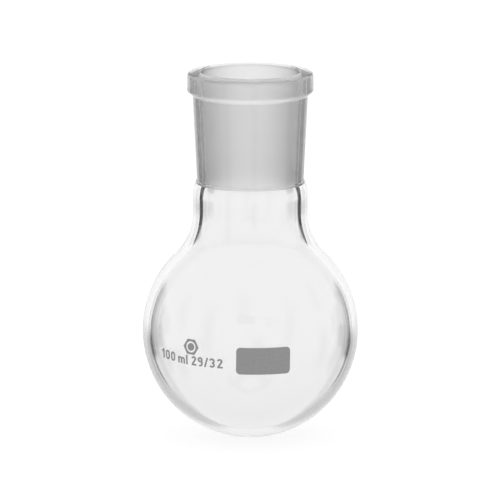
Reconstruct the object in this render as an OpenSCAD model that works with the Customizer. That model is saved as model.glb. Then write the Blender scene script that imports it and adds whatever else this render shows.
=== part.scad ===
// Round-bottom boiling flask: a blown bulb with its neck, a ground socket fused
// onto the neck, and the fired enamel marks on the bulb. Millimetres, +Z up,
// origin at the lowest point of the bulb, marks facing -Y.

/* [Bulb] */
// Outer diameter of the bulb
bulb_d = 64; // [60:1:66]
// Wall thickness of the bulb
bulb_wall = 2.5; // [1.4:0.1:3]

/* [Neck] */
// Outer diameter of the straight part of the neck
neck_d = 34; // [32.5:0.5:35.5]
// Wall thickness of the straight part of the neck
neck_wall = 2.9; // [1.8:0.1:3]
// Outer radius of the blend from neck to bulb
shoulder_r = 17; // [12:0.5:18]
// Inner radius of the blend from neck to bulb
shoulder_inner_r = 20; // [14:0.5:22]

/* [Ground socket] */
// Wide diameter of the ground cone, at the mouth
cone_d = 29.2; // [29.2:0.1:29.3]
// Length of the ground cone
cone_length = 32; // [30:1:34]
// Wall thickness of the socket
socket_wall = 2.85; // [2:0.05:3]
// Outer diameter of the collar at the mouth
collar_d = 37.5; // [36.5:0.5:40]
// Height of the collar
collar_h = 6.4; // [5:0.2:8]

/* [Whole flask] */
// Height from the lowest point of the bulb to the rim
flask_h = 110; // [108:1:120]

/* [Enamel marks] */
// Thickness of the fired enamel
enamel_t = 0.12; // [0.08:0.01:0.3]
// Width of the writing panel
panel_w = 16; // [10:0.5:18]
// Height of the writing panel
panel_h = 8.2; // [5:0.2:12]
// Turn of the writing panel to the right of the front
panel_turn = 7; // [3:1:15]
// Drop of the writing panel below the bulb's widest circle
panel_drop = 6.5; // [0:0.5:15]
// Turn of the other marks to the left of the front
mark_turn = 35; // [32:1:45]
// Drop of the other marks below the bulb's widest circle
mark_drop = 7.5; // [0:0.5:12]
// Slope of the other marks, falling to the right
mark_slope = 3; // [0:1:8]
// Height of the figures
figure_h = 2.9; // [2:0.1:3.2]

/* [Hidden] */
$fn = 128;

bulb_r = bulb_d / 2;
bulb_inner_r = bulb_r - bulb_wall;
neck_r = neck_d / 2;
neck_inner_r = neck_r - neck_wall;

// ground cone, which loses 1 mm of diameter in every 10 mm of length
cone_slope = 1 / 20;
mouth_r = cone_d / 2;
throat_r = mouth_r - cone_length * cone_slope;
mouth_bevel = 0.5;
lip_r = mouth_r + mouth_bevel;       // highest circle of the rim
land_h = 1.2;                        // plain stretch below the ground cone
cone_end_z = flask_h - cone_length;
seam_z = cone_end_z - land_h;        // where the socket is fused to the neck

// collar round the mouth
collar_r = collar_d / 2;
collar_z = flask_h - collar_h;
collar_slope = 9;                    // fall of the collar's top away from the mouth
collar_edge_r = 1.1;                 // rounding of its upper edge
collar_heel_r = 1;                   // rounding of its lower edge
collar_foot_h = 1;                   // reach of the short cone below the collar

// seam, and the stretches over which the neck and its bore narrow to meet it
seam_r = throat_r + socket_wall;
seam_bead_r = 0.6;
seam_bead_proud = 0.35;
neck_fall_h = 3;
bore_fall_h = 4.2;
bore_land_h = 0.6;                   // plain stretch of the bore below the seam

// strokes and places of the figures, all from their height
stroke = figure_h * 0.18;
letter_h = figure_h * 0.7;           // height of the small letters
capacity_w = figure_h * 3.62;
joint_size_w = figure_h * 3.38;
word_gap = figure_h * 0.5;
line_w = capacity_w + word_gap + joint_size_w;

// emblem, placed from the middle of the line of figures
emblem_r = 2.6;
emblem_gap_r = 1.4;
emblem_shift = 0.8;
emblem_rise = 4.1;

panel_corner_r = 1.2;

eps = 0.01;
big = 200;

// height of the centre of a blend of radius f, between a tube of radius r and
// the bulb's circle of radius b
function blend_z(r, b, f) = bulb_r + sqrt(pow(b + f, 2) - pow(r + f, 2));

// radius of an arc that leaves a vertical line and comes in by d over height h
function fall_r(d, h) = (d * d + h * h) / (2 * d);

// radius of the ground cone at height z
function cone_r_at(z) = mouth_r - (flask_h - z) * cone_slope;

// ---- glass ----

// half profile of a bulb of radius b with a tube of radius r on it, joined by a
// blend of radius f, up to height top
module bulb_and_tube(b, r, f, top) {
    blend = blend_z(r, b, f);
    translate([0, bulb_r]) circle(b);
    translate([0, bulb_r]) square([r, top - bulb_r]);
    difference() {
        polygon([[0, bulb_r], [r + f, blend], [0, blend]]);
        translate([r + f, blend]) circle(f);
    }
}

// keeps what is inside a tube of radius r that comes in by d over its last
// height h
module narrowed(r, d, h, top) {
    arc = fall_r(d, h);
    intersection() {
        children();
        union() {
            translate([0, -1]) square([big, top - h + 1]);
            intersection() {
                translate([r - arc, top - h]) circle(arc);
                translate([0, top - h]) square([big, h]);
            }
        }
    }
}

// the small bead that fusing leaves round the seam
module seam_bead() {
    translate([seam_r + seam_bead_proud - seam_bead_r, seam_z]) circle(seam_bead_r);
}

module body_profile() {
    bore_top = seam_z - bore_land_h;
    intersection() {
        difference() {
            union() {
                narrowed(neck_r, neck_r - seam_r, neck_fall_h, seam_z)
                    bulb_and_tube(bulb_r, neck_r, shoulder_r, seam_z);
                seam_bead();
            }
            narrowed(neck_inner_r, neck_inner_r - throat_r, bore_fall_h, bore_top)
                bulb_and_tube(bulb_inner_r, neck_inner_r, shoulder_inner_r, bore_top);
            translate([0, bulb_r]) square([throat_r, seam_z + eps - bulb_r]);
        }
        square([big, seam_z]);
    }
}

// bulb and neck, blown in one piece and open at the top
module flask_body() {
    color("aliceblue", 0.5) rotate_extrude() body_profile();
}

// collar section, cut out inside by the ground cone: a short cone below, rounded
// outer edges, and a top that falls away from the mouth
module collar_profile() {
    foot_z = collar_z - collar_foot_h;
    heel_x = collar_r - collar_heel_r;
    heel_z = collar_z + collar_heel_r;
    heel_cut = collar_heel_r * sin(45);
    edge_x = collar_r - collar_edge_r;
    edge_z = flask_h - (edge_x - lip_r) * tan(collar_slope) - collar_edge_r / cos(collar_slope);
    polygon([[throat_r, foot_z], [cone_r_at(foot_z) + socket_wall, foot_z],
             [heel_x + heel_cut, heel_z - heel_cut], [heel_x, heel_z], [throat_r, heel_z]]);
    translate([heel_x, heel_z]) circle(collar_heel_r);
    translate([throat_r, heel_z]) square([collar_r - throat_r, edge_z - heel_z]);
    translate([edge_x, edge_z]) circle(collar_edge_r);
    polygon([[throat_r, edge_z], [edge_x, edge_z],
             [edge_x + collar_edge_r * sin(collar_slope), edge_z + collar_edge_r * cos(collar_slope)],
             [lip_r, flask_h], [throat_r, flask_h]]);
}

module socket_profile() {
    wall_low = cone_r_at(seam_z) + socket_wall;
    wall_top = cone_r_at(collar_z) + socket_wall;
    core_r = throat_r - 1;
    difference() {
        union() {
            polygon([[core_r, seam_z], [wall_low, seam_z],
                     [wall_top, collar_z], [core_r, collar_z]]);
            collar_profile();
            intersection() {
                seam_bead();
                translate([0, seam_z]) square([big, big]);
            }
        }
        // ground cone with the plain land below it, then the bevelled mouth
        polygon([[0, seam_z - 1], [throat_r, seam_z - 1], [throat_r, cone_end_z],
                 [mouth_r, flask_h], [mouth_r, flask_h + 1], [0, flask_h + 1]]);
        polygon([[0, flask_h - mouth_bevel], [mouth_r, flask_h - mouth_bevel],
                 [mouth_r + mouth_bevel + eps, flask_h + eps], [0, flask_h + eps]]);
    }
}

// the tube with the ground cone inside and the collar round its mouth
module ground_socket() {
    color("lightgray", 0.8) rotate_extrude() socket_profile();
}

// ---- enamel ----

// places a flat outline on the bulb: turn to the right of the front, rise above
// the widest circle, and tilt in its own plane
module on_bulb(turn, rise, tilt = 0) {
    translate([0, 0, bulb_r]) rotate([0, 0, turn]) rotate([90 - rise, 0, 0])
        rotate([0, 0, tilt]) linear_extrude(bulb_r + 5) children();
}

// the layer of fired enamel under an outline
module enamel() {
    color("gray") intersection() {
        translate([0, 0, bulb_r]) difference() {
            sphere(bulb_r + enamel_t);
            sphere(bulb_r);
        }
        children();
    }
}

module rounded_panel(w, h, r) {
    square([w - 2 * r, h], center = true);
    square([w, h - 2 * r], center = true);
    for (x = [-1, 1], y = [-1, 1])
        translate([x * (w / 2 - r), y * (h / 2 - r)]) circle(r);
}

// strokes of width s on the centre line of a ring, of an arc, or of a straight
// run between two points
module ring(r, s) {
    difference() {
        circle(r + s / 2);
        circle(r - s / 2);
    }
}

module arc_stroke(r, s, from, to) {
    steps = 6;
    intersection() {
        ring(r, s);
        polygon(concat([[0, 0]], [for (i = [0 : steps]) let (a = from + (to - from) * i / steps)
            2 * r * [cos(a), sin(a)]]));
    }
}

module run_stroke(p, q, s) {
    translate(p) rotate(atan2(q[1] - p[1], q[0] - p[0]))
        translate([0, -s / 2]) square([norm(q - p), s]);
}

// figures of height h in strokes of width s, each standing on y = 0 with its
// left edge at x = 0
module figure_one(h, s) {
    bar_x = h * 0.3;
    translate([bar_x - s / 2, 0]) square([s, h]);
    run_stroke([0, h * 0.72], [bar_x, h - s / 2], s);
}

module figure_nought(h, s) {
    r = h * 0.29 - s / 2;
    translate([r + s / 2, 0]) {
        translate([0, h - r - s / 2]) arc_stroke(r, s, 0, 180);
        translate([0, r + s / 2]) arc_stroke(r, s, 180, 360);
        for (x = [-r, r]) translate([x - s / 2, r + s / 2]) square([s, h - 2 * r - s]);
    }
}

module figure_two(h, s) {
    r = h * 0.27 - s / 2;
    bend = -38;
    top = [r + s / 2, h - r - s / 2];
    translate(top) arc_stroke(r, s, bend, 175);
    run_stroke([s * 0.5, s * 0.7], top + r * [cos(bend), sin(bend)], s);
    square([2 * r + s, s]);
}

module figure_three(h, s) {
    r = (h - s) / 4;
    translate([r + s / 2, h - r - s / 2]) arc_stroke(r, s, -90, 160);
    translate([r + s / 2, r + s / 2]) arc_stroke(r, s, -160, 90);
}

module figure_nine(h, s) {
    r = h * 0.28 - s / 2;
    translate([r + s / 2, h - r - s / 2]) ring(r, s);
    translate([2 * r, r + s / 2]) square([s, h - 2 * r - s]);
    translate([r + s / 2, r + s / 2]) arc_stroke(r, s, -130, 0);
}

module slash(h, s) {
    run_stroke([s / 2, 0], [h * 0.4, h], s * 0.9);
}

module letter_m(h, s) {
    r = h * 0.25;
    for (i = [0 : 2]) translate([i * 2 * r, 0]) square([s, i > 0 ? h - r - s / 2 : h]);
    for (i = [0, 1]) translate([r + s / 2 + i * 2 * r, h - r - s / 2]) arc_stroke(r, s, 0, 180);
}

module letter_l(h, s) {
    square([s, h]);
}

// the capacity, 100 ml
module capacity_line(h, s) {
    figure_one(h, s);
    for (x = [0.62, 1.4]) translate([x * h, 0]) figure_nought(h, s);
    translate([2.4 * h, 0]) letter_m(letter_h, s);
    translate([capacity_w - s, 0]) letter_l(h, s);
}

// the joint's nominal size, 29/32
module joint_size_line(h, s) {
    figure_two(h, s);
    translate([0.72 * h, 0]) figure_nine(h, s);
    translate([1.42 * h, 0]) slash(h, s);
    translate([2.0 * h, 0]) figure_three(h, s);
    translate([joint_size_w - 0.54 * h, 0]) figure_two(h, s);
}

// matt panel for writing on with a pencil
module writing_panel() {
    enamel() on_bulb(panel_turn, -panel_drop)
        rounded_panel(panel_w, panel_h, panel_corner_r);
}

// a plain hexagon with a ring left out of it
module ring_emblem() {
    enamel() on_bulb(-mark_turn, -mark_drop, -mark_slope)
        translate([emblem_shift, emblem_rise]) difference() {
            circle(emblem_r, $fn = 6);
            ring(emblem_gap_r, stroke);
        }
}

module capacity_mark() {
    enamel() on_bulb(-mark_turn, -mark_drop, -mark_slope)
        translate([-line_w / 2, -figure_h / 2]) capacity_line(figure_h, stroke);
}

module joint_size_mark() {
    enamel() on_bulb(-mark_turn, -mark_drop, -mark_slope)
        translate([line_w / 2 - joint_size_w, -figure_h / 2]) joint_size_line(figure_h, stroke);
}

flask_body();
ground_socket();
writing_panel();
ring_emblem();
capacity_mark();
joint_size_mark();
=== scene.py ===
import math

import bmesh
import bpy
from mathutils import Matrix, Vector


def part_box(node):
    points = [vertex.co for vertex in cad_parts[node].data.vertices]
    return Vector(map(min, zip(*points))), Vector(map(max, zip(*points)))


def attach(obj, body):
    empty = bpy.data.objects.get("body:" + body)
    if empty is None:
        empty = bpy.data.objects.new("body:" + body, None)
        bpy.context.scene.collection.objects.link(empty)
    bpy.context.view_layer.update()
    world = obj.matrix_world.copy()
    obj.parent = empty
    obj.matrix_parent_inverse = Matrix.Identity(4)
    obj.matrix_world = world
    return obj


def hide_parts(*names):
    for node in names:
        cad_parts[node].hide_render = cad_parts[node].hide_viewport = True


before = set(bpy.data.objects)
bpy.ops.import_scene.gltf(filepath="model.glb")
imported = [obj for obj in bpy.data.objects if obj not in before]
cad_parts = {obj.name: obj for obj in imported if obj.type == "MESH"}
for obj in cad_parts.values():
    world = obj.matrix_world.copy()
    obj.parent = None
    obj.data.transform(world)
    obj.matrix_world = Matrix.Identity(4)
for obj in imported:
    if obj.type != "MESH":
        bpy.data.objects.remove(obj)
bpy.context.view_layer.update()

scene = bpy.context.scene
mm = 0.001


def toLinear(hexColour):
    values = [int(hexColour[i:i + 2], 16) / 255 for i in (1, 3, 5)]
    linear = [v / 12.92 if v <= 0.04045 else ((v + 0.055) / 1.055) ** 2.4 for v in values]
    return (*linear, 1.0)


def addNode(tree, kind, settings=None, inputs=None, links=None):
    node = tree.nodes.new(kind)
    for name, value in (settings or {}).items():
        setattr(node, name, value)
    for name, value in (inputs or {}).items():
        node.inputs[name].default_value = value
    for name, source in (links or {}).items():
        tree.links.new(source, node.inputs[name])
    return node


def newMaterial(name):
    material = bpy.data.materials.new(name)
    material.use_nodes = True
    material.node_tree.nodes.clear()
    return material, material.node_tree


def closeMaterial(tree, shader):
    addNode(tree, "ShaderNodeOutputMaterial", links={"Surface": shader.outputs[0]})


# fire-polished borosilicate: clear, colourless, and faintly wavy where it was blown
def makeClearGlass():
    material, tree = newMaterial("fire-polished borosilicate glass")
    place = addNode(tree, "ShaderNodeTexCoord")
    waves = addNode(tree, "ShaderNodeTexNoise", inputs={"Scale": 1 / (14 * mm), "Detail": 1.0},
                    links={"Vector": place.outputs["Object"]})
    bump = addNode(tree, "ShaderNodeBump", inputs={"Strength": 1.0, "Distance": 0.02 * mm},
                   links={"Height": waves.outputs["Fac"]})
    glass = addNode(tree, "ShaderNodeBsdfPrincipled",
                    inputs={"Base Color": toLinear("#f5f5f5"), "Roughness": 0.0, "IOR": 1.47,
                            "Transmission Weight": 1.0},
                    links={"Normal": bump.outputs["Normal"]})
    closeMaterial(tree, glass)
    return material


# the same glass ground with fine grit: frosted grey-white, with painted shade that makes it greyer
# where it
#  is seen at a slant, and running out softly to clear below the cone
def makeGroundGlass(runOut):
    material, tree = newMaterial("ground borosilicate glass")
    place = addNode(tree, "ShaderNodeTexCoord")
    height = addNode(tree, "ShaderNodeSeparateXYZ", links={"Vector": place.outputs["Object"]})
    ground = addNode(tree, "ShaderNodeMapRange", settings={"interpolation_type": "SMOOTHSTEP"},
                     inputs={"From Min": runOut[0], "From Max": runOut[1]},
                     links={"Value": height.outputs["Z"]})
    grit = addNode(tree, "ShaderNodeTexNoise", inputs={"Scale": 1 / (0.35 * mm), "Detail": 2.0},
                   links={"Vector": place.outputs["Object"]})
    rough = addNode(tree, "ShaderNodeMapRange",
                    inputs={"From Min": 0.3, "From Max": 0.7, "To Min": 0.5, "To Max": 0.62},
                    links={"Value": grit.outputs["Fac"]})
    roughness = addNode(tree, "ShaderNodeMath", settings={"operation": "MULTIPLY"},
                        links={0: rough.outputs["Result"], 1: ground.outputs["Result"]})
    # painted shade: the frosted grey-white colour darkens to dark grey where the surface is seen
    # at a slant
    paintedShadeSlant = addNode(tree, "ShaderNodeLayerWeight", inputs={"Blend": 0.5})
    frostAndPaintedShade = addNode(tree, "ShaderNodeMix", settings={"data_type": "RGBA"},
                    links={0: paintedShadeSlant.outputs["Facing"]})
    frostAndPaintedShade.inputs[6].default_value = toLinear("#eaeaea")
    frostAndPaintedShade.inputs[7].default_value = toLinear("#606060")
    colour = addNode(tree, "ShaderNodeMix", settings={"data_type": "RGBA"},
                     links={0: ground.outputs["Result"], 7: frostAndPaintedShade.outputs[2]})
    colour.inputs[6].default_value = toLinear("#f5f5f5")
    glass = addNode(tree, "ShaderNodeBsdfPrincipled",
                    inputs={"IOR": 1.47, "Transmission Weight": 1.0},
                    links={"Base Color": colour.outputs[2], "Roughness": roughness.outputs[0]})
    closeMaterial(tree, glass)
    return material


# screen-printed grey enamel, fired on: matt, with a fine grain
def makeEnamel():
    material, tree = newMaterial("grey fired enamel")
    place = addNode(tree, "ShaderNodeTexCoord")
    grain = addNode(tree, "ShaderNodeTexNoise", inputs={"Scale": 1 / (0.5 * mm), "Detail": 3.0},
                    links={"Vector": place.outputs["Object"]})
    colour = addNode(tree, "ShaderNodeMix", settings={"data_type": "RGBA"},
                     links={0: grain.outputs["Fac"]})
    colour.inputs[6].default_value = toLinear("#7c7c7c")
    colour.inputs[7].default_value = toLinear("#929292")
    enamel = addNode(tree, "ShaderNodeBsdfPrincipled", inputs={"Roughness": 0.6, "IOR": 1.5},
                     links={"Base Color": colour.outputs[2]})
    closeMaterial(tree, enamel)
    return material


# a profile's last vertex goes round a centre, anticlockwise as seen from the front
def arcTo(bm, vert, centre, degrees, steps):
    turned = bmesh.ops.spin(bm, geom=[vert], cent=(centre[0], 0, centre[1]), axis=(0, -1, 0),
                            angle=math.radians(degrees), steps=steps)
    return [g for g in turned["geom_last"] if isinstance(g, bmesh.types.BMVert)][0]


def lineTo(bm, vert, point, steps=1):
    start = vert.co.copy()
    for i in range(steps):
        vert = bmesh.ops.extrude_vert_indiv(bm, verts=[vert])["verts"][0]
        vert.co = start.lerp(Vector((point[0], 0, point[1])), (i + 1) / steps)
    return vert


def lathe(bm, name, materials, steps=256):
    bmesh.ops.spin(bm, geom=bm.verts[:] + bm.edges[:], cent=(0, 0, 0), axis=(0, 0, 1),
                   angle=2 * math.pi, steps=steps, use_merge=True)
    bmesh.ops.remove_doubles(bm, verts=bm.verts[:], dist=0.001 * mm)
    bmesh.ops.recalc_face_normals(bm, faces=bm.faces[:])
    for face in bm.faces:
        face.smooth = True
    for edge in bm.edges:
        edge.smooth = edge.calc_face_angle(0) < math.radians(25)
    mesh = bpy.data.meshes.new(name)
    bm.to_mesh(mesh)
    bm.free()
    for material in materials:
        mesh.materials.append(material)
    piece = bpy.data.objects.new(name, mesh)
    scene.collection.objects.link(piece)
    return piece


# inner faces within these heights and inside this radius get the piece's second material
def grindInside(piece, low, high, radius):
    for face in piece.data.polygons:
        at = face.center
        if low < at.z < high and math.hypot(at.x, at.y) < radius:
            face.material_index = 1


# the bulb with its neck. Over the last neckFall the neck comes in to the seam, and over boreFall
# its bore comes in to the throat. The bead is the small ring round the seam: the neck runs into it
# beadTuck of its radius below the seam, and its lower half starts beadStart degrees down
bulb = {"radius": 32 * mm, "wall": 2.5 * mm, "neckRadius": 17 * mm, "neckWall": 2.9 * mm,
        "shoulder": 17 * mm, "innerShoulder": 20 * mm, "seam": 76.8 * mm,
        "throat": 13 * mm, "seamRadius": 15.85 * mm, "neckFall": 3 * mm, "boreFall": 4.2 * mm,
        "boreLand": 0.6 * mm, "beadRadius": 0.6 * mm, "beadProud": 0.35 * mm,
        "beadTuck": 0.53, "beadStart": 30,
        "fused": 0.01 * mm,  # each blank runs this far past the seam, so the glass reads as one
        "groundBelow": 2 * mm}  # the grinding reaches this far down into the bore


def makeBulb(glass, ground):
    b = bulb
    outer, inner = b["radius"], b["radius"] - b["wall"]
    neck, bore = b["neckRadius"], b["neckRadius"] - b["neckWall"]
    centre = b["radius"]
    top = b["seam"] + b["fused"]

    def blendCentre(tube, ball, blend):
        return (tube + blend, centre + math.sqrt((ball + blend) ** 2 - (tube + blend) ** 2))

    def fallRadius(depth, height):
        return (depth ** 2 + height ** 2) / (2 * depth)

    bm = bmesh.new()
    vert = bm.verts.new((0, 0, 0))
    outerBlend = blendCentre(neck, outer, b["shoulder"])
    lean = math.degrees(math.atan2(outerBlend[1] - centre, outerBlend[0]))
    vert = arcTo(bm, vert, (0, centre), 90 + lean, 110)
    vert = arcTo(bm, vert, outerBlend, -lean, 18)
    vert = lineTo(bm, vert, (neck, b["seam"] - b["neckFall"]), 6)
    fall = fallRadius(neck - b["seamRadius"], b["neckFall"])
    fallHeight = b["neckFall"] - b["beadRadius"] * b["beadTuck"]
    vert = arcTo(bm, vert, (neck - fall, b["seam"] - b["neckFall"]),
                 math.degrees(math.asin(fallHeight / fall)), 8)
    bead = b["seamRadius"] + b["beadProud"] - b["beadRadius"]
    start = math.radians(b["beadStart"])
    vert = lineTo(bm, vert, (bead + b["beadRadius"] * math.cos(start),
                             top - b["beadRadius"] * math.sin(start)))
    vert = arcTo(bm, vert, (bead, top), b["beadStart"], 6)
    vert = lineTo(bm, vert, (b["throat"], top), 3)
    vert = lineTo(bm, vert, (b["throat"], top - b["boreLand"]), 2)
    fall = fallRadius(bore - b["throat"], b["boreFall"])
    vert = arcTo(bm, vert, (bore - fall, top - b["boreLand"] - b["boreFall"]),
                 -math.degrees(math.asin(b["boreFall"] / fall)), 10)
    innerBlend = blendCentre(bore, inner, b["innerShoulder"])
    vert = lineTo(bm, vert, (bore, innerBlend[1]), 3)
    lean = math.degrees(math.atan2(innerBlend[1] - centre, innerBlend[0]))
    vert = arcTo(bm, vert, innerBlend, lean, 20)
    vert = arcTo(bm, vert, (0, centre), -90 - lean, 100)
    piece = lathe(bm, "blownBulb", [glass, ground])
    grindInside(piece, top - b["groundBelow"], top, bore)
    return piece


# the tube with the ground cone inside and the collar round its mouth. The upper half of the bead
# turns beadTurn degrees, the tube starts tubeStart above the seam, and the grinding fades out
# between the runOut heights
socket = {"mouth": 14.6 * mm, "length": 32 * mm, "slope": 1 / 20, "wall": 2.85 * mm,
          "collarRadius": 18.75 * mm, "collarHeight": 6.4 * mm, "collarSlope": 9.0,
          "collarEdge": 1.1 * mm, "collarHeel": 1 * mm, "collarFoot": 1 * mm,
          "mouthBevel": 0.5 * mm, "beadTurn": 62, "tubeStart": 0.75 * mm,
          "runOut": (75.4 * mm, 77.2 * mm)}


def makeSocket(glass, ground):
    s, b = socket, bulb
    low = b["seam"] - b["fused"]
    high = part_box("ground_socket")[1].z
    throat = s["mouth"] - s["length"] * s["slope"]
    coneEnd = high - s["length"]
    collarLow = high - s["collarHeight"]

    def outerAt(z):
        return s["mouth"] - (high - z) * s["slope"] + s["wall"]

    bm = bmesh.new()
    vert = bm.verts.new((throat, 0, low))
    bead = b["seamRadius"] + b["beadProud"] - b["beadRadius"]
    vert = lineTo(bm, vert, (bead + b["beadRadius"], low), 3)
    vert = arcTo(bm, vert, (bead, low), s["beadTurn"], 6)
    tube = low + s["tubeStart"]
    vert = lineTo(bm, vert, (outerAt(tube), tube))
    foot = collarLow - s["collarFoot"]
    vert = lineTo(bm, vert, (outerAt(foot), foot), 12)
    heel = (s["collarRadius"] - s["collarHeel"], collarLow + s["collarHeel"])
    heelCut = s["collarHeel"] * math.sqrt(0.5)
    vert = lineTo(bm, vert, (heel[0] + heelCut, heel[1] - heelCut), 4)
    vert = arcTo(bm, vert, heel, 45, 6)
    slope = math.radians(s["collarSlope"])
    lip = s["mouth"] + s["mouthBevel"]
    edge = (s["collarRadius"] - s["collarEdge"], high - s["collarEdge"] / math.cos(slope)
            - (s["collarRadius"] - s["collarEdge"] - lip) * math.tan(slope))
    vert = lineTo(bm, vert, (s["collarRadius"], edge[1]), 4)
    vert = arcTo(bm, vert, edge, 90 - s["collarSlope"], 10)
    vert = lineTo(bm, vert, (lip, high), 4)
    vert = lineTo(bm, vert, (s["mouth"] - s["mouthBevel"] * s["slope"], high - s["mouthBevel"]), 2)
    vert = lineTo(bm, vert, (throat, coneEnd), 16)
    vert = lineTo(bm, vert, (throat, low), 2)
    piece = lathe(bm, "groundSocket", [glass, ground])
    grindInside(piece, low, high - s["mouthBevel"], s["mouth"])
    return piece


print("glass")
clearGlass = makeClearGlass()
groundGlass = makeGroundGlass(socket["runOut"])
greyEnamel = makeEnamel()
blownBulb = makeBulb(clearGlass, groundGlass)
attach(blownBulb, "root")
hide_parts("flask_body")
groundSocket = makeSocket(clearGlass, groundGlass)
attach(groundSocket, "root")
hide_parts("ground_socket")
for name in ("writing_panel", "ring_emblem", "capacity_mark", "joint_size_mark"):
    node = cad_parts[name]
    node.data.materials.clear()
    node.data.materials.append(greyEnamel)

print("studio")

floor = {"halfSize": 3.0, "glow": 0.88, "shade": 0.16}  # half its side in metres


# white acrylic sheet lit from below, so that only a breath of shade is left under the bulb
def makeFloor():
    bm = bmesh.new()
    bmesh.ops.create_grid(bm, x_segments=1, y_segments=1, size=floor["halfSize"])
    mesh = bpy.data.meshes.new("studioFloor")
    bm.to_mesh(mesh)
    bm.free()
    material, tree = newMaterial("lit white acrylic sheet")
    sheet = addNode(tree, "ShaderNodeBsdfDiffuse",
                    inputs={"Color": (floor["shade"], floor["shade"], floor["shade"], 1)})
    glow = addNode(tree, "ShaderNodeEmission", inputs={"Strength": floor["glow"]})
    both = addNode(tree, "ShaderNodeAddShader", links={0: sheet.outputs[0], 1: glow.outputs[0]})
    closeMaterial(tree, both)
    mesh.materials.append(material)
    plane = bpy.data.objects.new("studioFloor", mesh)
    scene.collection.objects.link(plane)
    plane.visible_transmission = False
    plane.visible_glossy = False


# the tent round the flask: even white, greyer low down, with soft-edged dark cards behind the
# flask on both sides, and fainter ones farther round. turn and rise are a card's middle in
# degrees, from +Y towards +X and from the horizon up
tent = {"strength": 1.05, "low": 0.92, "lowRise": (-20, -8)}
cards = [
    {"turn": 46, "rise": -3, "halfWidth": 8, "halfHeight": 16, "soft": 0.12, "dark": 0.98},
    {"turn": 61.5, "rise": -8.5, "halfWidth": 4.5, "halfHeight": 6, "soft": 0.2, "dark": 0.85},
    {"turn": 36.3, "rise": -19, "halfWidth": 2.5, "halfHeight": 9, "soft": 0.45, "dark": 0.7},
    {"turn": 25, "rise": -28, "halfWidth": 14, "halfHeight": 18, "soft": 0.17, "dark": 0.33},
]
farCards = [
    {"turn": -132, "rise": 4, "halfWidth": 6, "halfHeight": 22, "soft": 0.6, "dark": 0.55},
    {"turn": 92, "rise": -14, "halfWidth": 6, "halfHeight": 14, "soft": 0.6, "dark": 0.55},
    {"turn": 172, "rise": -14, "halfWidth": 6, "halfHeight": 14, "soft": 0.6, "dark": 0.55},
    {"turn": -90, "rise": -28, "halfWidth": 6, "halfHeight": 10, "soft": 0.6, "dark": 0.5},
]


def makeTent():
    world = bpy.data.worlds.new("white tent")
    scene.world = world
    world.use_nodes = True
    tree = world.node_tree
    place = addNode(tree, "ShaderNodeTexCoord")
    parts = addNode(tree, "ShaderNodeSeparateXYZ", links={"Vector": place.outputs["Generated"]})
    turn = addNode(tree, "ShaderNodeMath", settings={"operation": "ARCTAN2"},
                   links={0: parts.outputs["X"], 1: parts.outputs["Y"]})
    rise = addNode(tree, "ShaderNodeMath", settings={"operation": "ARCSINE"},
                   links={0: parts.outputs["Z"]})
    where = addNode(tree, "ShaderNodeCombineXYZ",
                    links={"X": turn.outputs[0], "Y": rise.outputs[0]})
    light = addNode(tree, "ShaderNodeMapRange", settings={"interpolation_type": "SMOOTHSTEP"},
                    inputs={"From Min": math.radians(tent["lowRise"][0]),
                            "From Max": math.radians(tent["lowRise"][1]), "To Min": tent["low"]},
                    links={"Value": rise.outputs[0]}).outputs["Result"]
    both = [dict(card, turn=side * card["turn"]) for card in cards for side in (1, -1)]
    for card in both + farCards:
        middle = (math.radians(card["turn"]), math.radians(card["rise"]), 0)
        half = (math.radians(card["halfWidth"]), math.radians(card["halfHeight"]), 1)
        off = addNode(tree, "ShaderNodeVectorMath", settings={"operation": "SUBTRACT"},
                      inputs={1: middle}, links={0: where.outputs[0]})
        off = addNode(tree, "ShaderNodeVectorMath", settings={"operation": "DIVIDE"},
                      inputs={1: half}, links={0: off.outputs[0]})
        off = addNode(tree, "ShaderNodeVectorMath", settings={"operation": "ABSOLUTE"},
                      links={0: off.outputs[0]})
        off = addNode(tree, "ShaderNodeSeparateXYZ", links={"Vector": off.outputs[0]})
        off = addNode(tree, "ShaderNodeMath", settings={"operation": "MAXIMUM"},
                      links={0: off.outputs["X"], 1: off.outputs["Y"]})
        left = addNode(tree, "ShaderNodeMapRange", settings={"interpolation_type": "SMOOTHSTEP"},
                       inputs={"From Min": 1 - card["soft"], "From Max": 1 + card["soft"],
                               "To Min": 1 - card["dark"]},
                       links={"Value": off.outputs[0]})
        light = addNode(tree, "ShaderNodeMath", settings={"operation": "MULTIPLY"},
                        links={0: light, 1: left.outputs["Result"]}).outputs[0]
    background = tree.nodes["Background"]
    background.inputs["Strength"].default_value = tent["strength"]
    tree.links.new(light, background.inputs["Color"])


makeFloor()
makeTent()
scene.view_settings.view_transform = "Standard"

camera = {"distance": 3.2, "rise": 10.3, "target": (-0.0001, 0, 0.05604),
          "frameWidth": 148.5 * mm,  # what the picture takes in at the target
          "sensor": 36.0}
cameraData = bpy.data.cameras.new("camera")
cameraData.sensor_width = camera["sensor"]
cameraData.lens = camera["sensor"] * camera["distance"] / camera["frameWidth"]
cameraObject = bpy.data.objects.new("camera", cameraData)
rise = math.radians(camera["rise"])
away = Vector((0, -math.cos(rise), math.sin(rise)))
cameraObject.location = Vector(camera["target"]) + away * camera["distance"]
cameraObject.rotation_euler = (-away).to_track_quat("-Z", "Y").to_euler()
scene.collection.objects.link(cameraObject)
scene.camera = cameraObject
